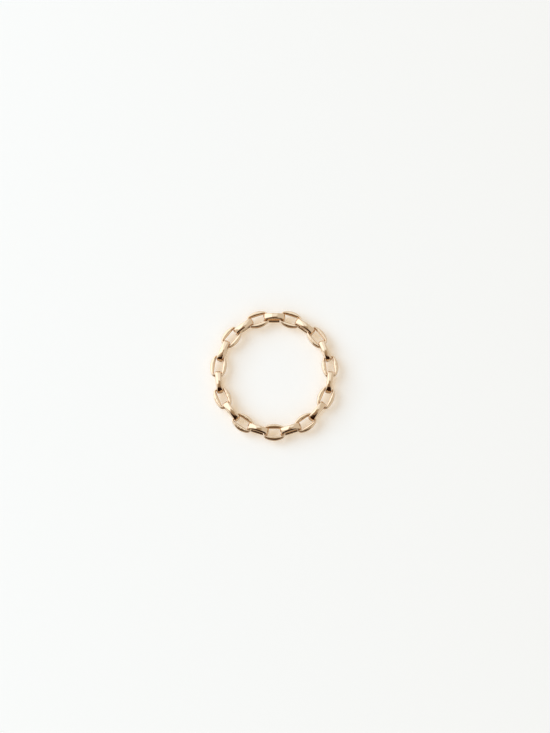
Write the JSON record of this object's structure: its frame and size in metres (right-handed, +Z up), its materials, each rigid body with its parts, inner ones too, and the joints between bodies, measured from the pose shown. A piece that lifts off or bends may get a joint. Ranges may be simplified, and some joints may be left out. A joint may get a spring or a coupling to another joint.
{
  "type": "chain link finger ring",
  "caption": "Finger ring made as a closed loop of interlocking oval gold links, flat and upright in turn.",
  "frame": {"origin": "on the surface that the ring lies on, below the middle of the finger hole", "axes": "+Z up along the finger hole's axis; +Y towards the upright link at the far side of the loop, with a flat link nearest -Y"},
  "size_m": [0.023, 0.0238, 0.003],
  "materials": {
    "gold": "polished"
  },
  "bodies": {
    "root": {"flat_link_01": "gold", "flat_link_02": "gold", "flat_link_03": "gold", "flat_link_04": "gold", "flat_link_05": "gold", "flat_link_06": "gold", "flat_link_07": "gold", "flat_link_08": "gold", "flat_link_09": "gold", "flat_link_10": "gold", "flat_link_11": "gold", "upright_link_01": "gold", "upright_link_02": "gold", "upright_link_03": "gold", "upright_link_04": "gold", "upright_link_05": "gold", "upright_link_06": "gold", "upright_link_07": "gold", "upright_link_08": "gold", "upright_link_09": "gold", "upright_link_10": "gold", "upright_link_11": "gold"}
  },
  "joints": []
}
